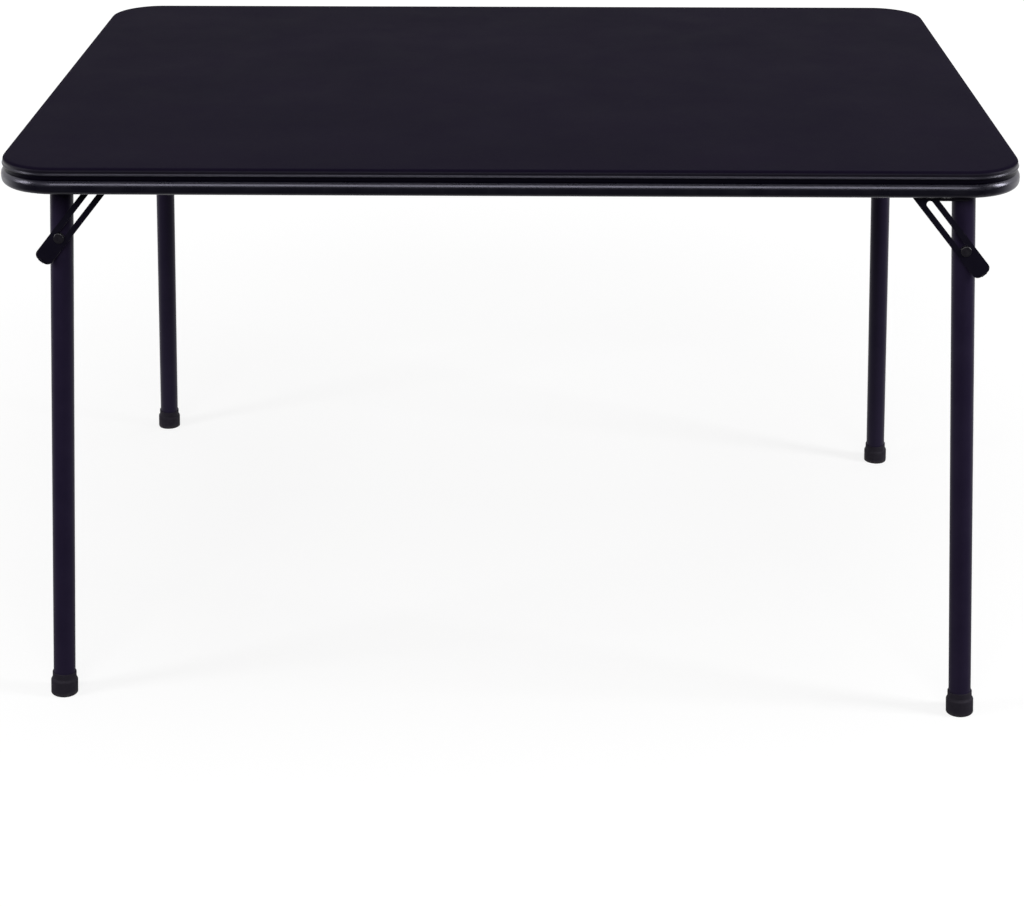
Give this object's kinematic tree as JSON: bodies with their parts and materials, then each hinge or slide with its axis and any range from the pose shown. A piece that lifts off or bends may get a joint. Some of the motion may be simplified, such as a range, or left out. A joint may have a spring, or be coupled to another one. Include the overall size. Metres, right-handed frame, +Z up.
{
  "type": "folding table",
  "caption": "Rectangular folding card table with a padded vinyl top, a steel rail and four splayed tube legs that fold flat on slotted lock braces.",
  "frame": {"origin": "on the floor under the middle of the top", "axes": "+X along the length of the top, the front edge towards -Y, +Z up"},
  "size_m": [1.219, 0.9418, 0.711],
  "materials": {
    "vinyl": "matte, fine grain",
    "foam": "open foam",
    "board": "pressed board",
    "rail_paint": "semi-gloss powder coat",
    "leg_paint": "satin powder coat",
    "bracket_paint": "satin powder coat",
    "brace_paint": "satin powder coat",
    "rivet_steel": "dark, semi-gloss",
    "screw_steel": "zinc plated",
    "foot_rubber": "moulded rubber"
  },
  "bodies": {
    "top": {"vinyl_cover": "vinyl", "foam_pad": "foam", "top_board": "board", "frame_rail": "rail_paint", "rail_screws": "screw_steel", "bracket_screws": "screw_steel", "front_left_hinge_bracket": "bracket_paint", "front_left_leg_pivot_rivet": "rivet_steel", "front_left_brace_pivot_rivet": "rivet_steel", "front_right_hinge_bracket": "bracket_paint", "front_right_leg_pivot_rivet": "rivet_steel", "front_right_brace_pivot_rivet": "rivet_steel", "back_left_hinge_bracket": "bracket_paint", "back_left_leg_pivot_rivet": "rivet_steel", "back_left_brace_pivot_rivet": "rivet_steel", "back_right_hinge_bracket": "bracket_paint", "back_right_leg_pivot_rivet": "rivet_steel", "back_right_brace_pivot_rivet": "rivet_steel"},
    "front_left_leg": {"front_left_leg_tube": "leg_paint", "front_left_foot_cap": "foot_rubber"},
    "front_left_brace": {"front_left_lock_brace": "brace_paint"},
    "front_left_lock": {"front_left_lock_rivet": "rivet_steel"},
    "front_right_leg": {"front_right_leg_tube": "leg_paint", "front_right_foot_cap": "foot_rubber"},
    "front_right_brace": {"front_right_lock_brace": "brace_paint"},
    "front_right_lock": {"front_right_lock_rivet": "rivet_steel"},
    "back_left_leg": {"back_left_leg_tube": "leg_paint", "back_left_foot_cap": "foot_rubber"},
    "back_left_brace": {"back_left_lock_brace": "brace_paint"},
    "back_left_lock": {"back_left_lock_rivet": "rivet_steel"},
    "back_right_leg": {"back_right_leg_tube": "leg_paint", "back_right_foot_cap": "foot_rubber"},
    "back_right_brace": {"back_right_lock_brace": "brace_paint"},
    "back_right_lock": {"back_right_lock_rivet": "rivet_steel"}
  },
  "joints": [
    {"name": "front_left_leg_fold", "type": "hinge", "parent": "top", "child": "front_left_leg", "pos_m": [-0.5385, -0.362, 0.6792], "axis": [0, -0.9964, 0.0847], "range_deg": [0, 93.53]},
    {"name": "front_left_brace_turn", "type": "hinge", "parent": "top", "child": "front_left_brace", "pos_m": [-0.4855, -0.37964, 0.6807], "axis": [0, -0.9964, 0.0847], "range_deg": [0, 129.36]},
    {"name": "front_left_lock_slide", "type": "slide", "parent": "front_left_brace", "child": "front_left_lock", "axis": [0.6342, 0.0655, 0.7704], "range_m": [0, 0.07337]},
    {"name": "front_right_leg_fold", "type": "hinge", "parent": "top", "child": "front_right_leg", "pos_m": [0.5385, -0.396, 0.6792], "axis": [0, 0.9964, -0.0847], "range_deg": [0, 93.53]},
    {"name": "front_right_brace_turn", "type": "hinge", "parent": "top", "child": "front_right_brace", "pos_m": [0.4855, -0.41364, 0.6807], "axis": [0, 0.9964, -0.0847], "range_deg": [0, 129.36]},
    {"name": "front_right_lock_slide", "type": "slide", "parent": "front_right_brace", "child": "front_right_lock", "axis": [-0.6342, 0.0655, 0.7704], "range_m": [0, 0.07337]},
    {"name": "back_left_leg_fold", "type": "hinge", "parent": "top", "child": "back_left_leg", "pos_m": [-0.5385, 0.396, 0.6792], "axis": [0, -0.9964, -0.0847], "range_deg": [0, 93.53]},
    {"name": "back_left_brace_turn", "type": "hinge", "parent": "top", "child": "back_left_brace", "pos_m": [-0.4855, 0.41364, 0.6807], "axis": [0, -0.9964, -0.0847], "range_deg": [0, 129.36]},
    {"name": "back_left_lock_slide", "type": "slide", "parent": "back_left_brace", "child": "back_left_lock", "axis": [0.6342, -0.0655, 0.7704], "range_m": [0, 0.07337]},
    {"name": "back_right_leg_fold", "type": "hinge", "parent": "top", "child": "back_right_leg", "pos_m": [0.5385, 0.272, 0.6792], "axis": [0, 0.9964, 0.0847], "range_deg": [0, 93.53]},
    {"name": "back_right_brace_turn", "type": "hinge", "parent": "top", "child": "back_right_brace", "pos_m": [0.4855, 0.28964, 0.6807], "axis": [0, 0.9964, 0.0847], "range_deg": [0, 129.36]},
    {"name": "back_right_lock_slide", "type": "slide", "parent": "back_right_brace", "child": "back_right_lock", "axis": [-0.6342, -0.0655, 0.7704], "range_m": [0, 0.07337]}
  ],
  "couplings": [
    {"joint": "front_left_brace_turn", "follows": "front_left_leg_fold", "ratio": 1.3831},
    {"joint": "front_left_lock_slide", "follows": "front_left_leg_fold", "m_per_rad": 0.044943},
    {"joint": "front_right_brace_turn", "follows": "front_right_leg_fold", "ratio": 1.3831},
    {"joint": "front_right_lock_slide", "follows": "front_right_leg_fold", "m_per_rad": 0.044943},
    {"joint": "back_left_brace_turn", "follows": "back_left_leg_fold", "ratio": 1.3831},
    {"joint": "back_left_lock_slide", "follows": "back_left_leg_fold", "m_per_rad": 0.044943},
    {"joint": "back_right_brace_turn", "follows": "back_right_leg_fold", "ratio": 1.3831},
    {"joint": "back_right_lock_slide", "follows": "back_right_leg_fold", "m_per_rad": 0.044943}
  ]
}
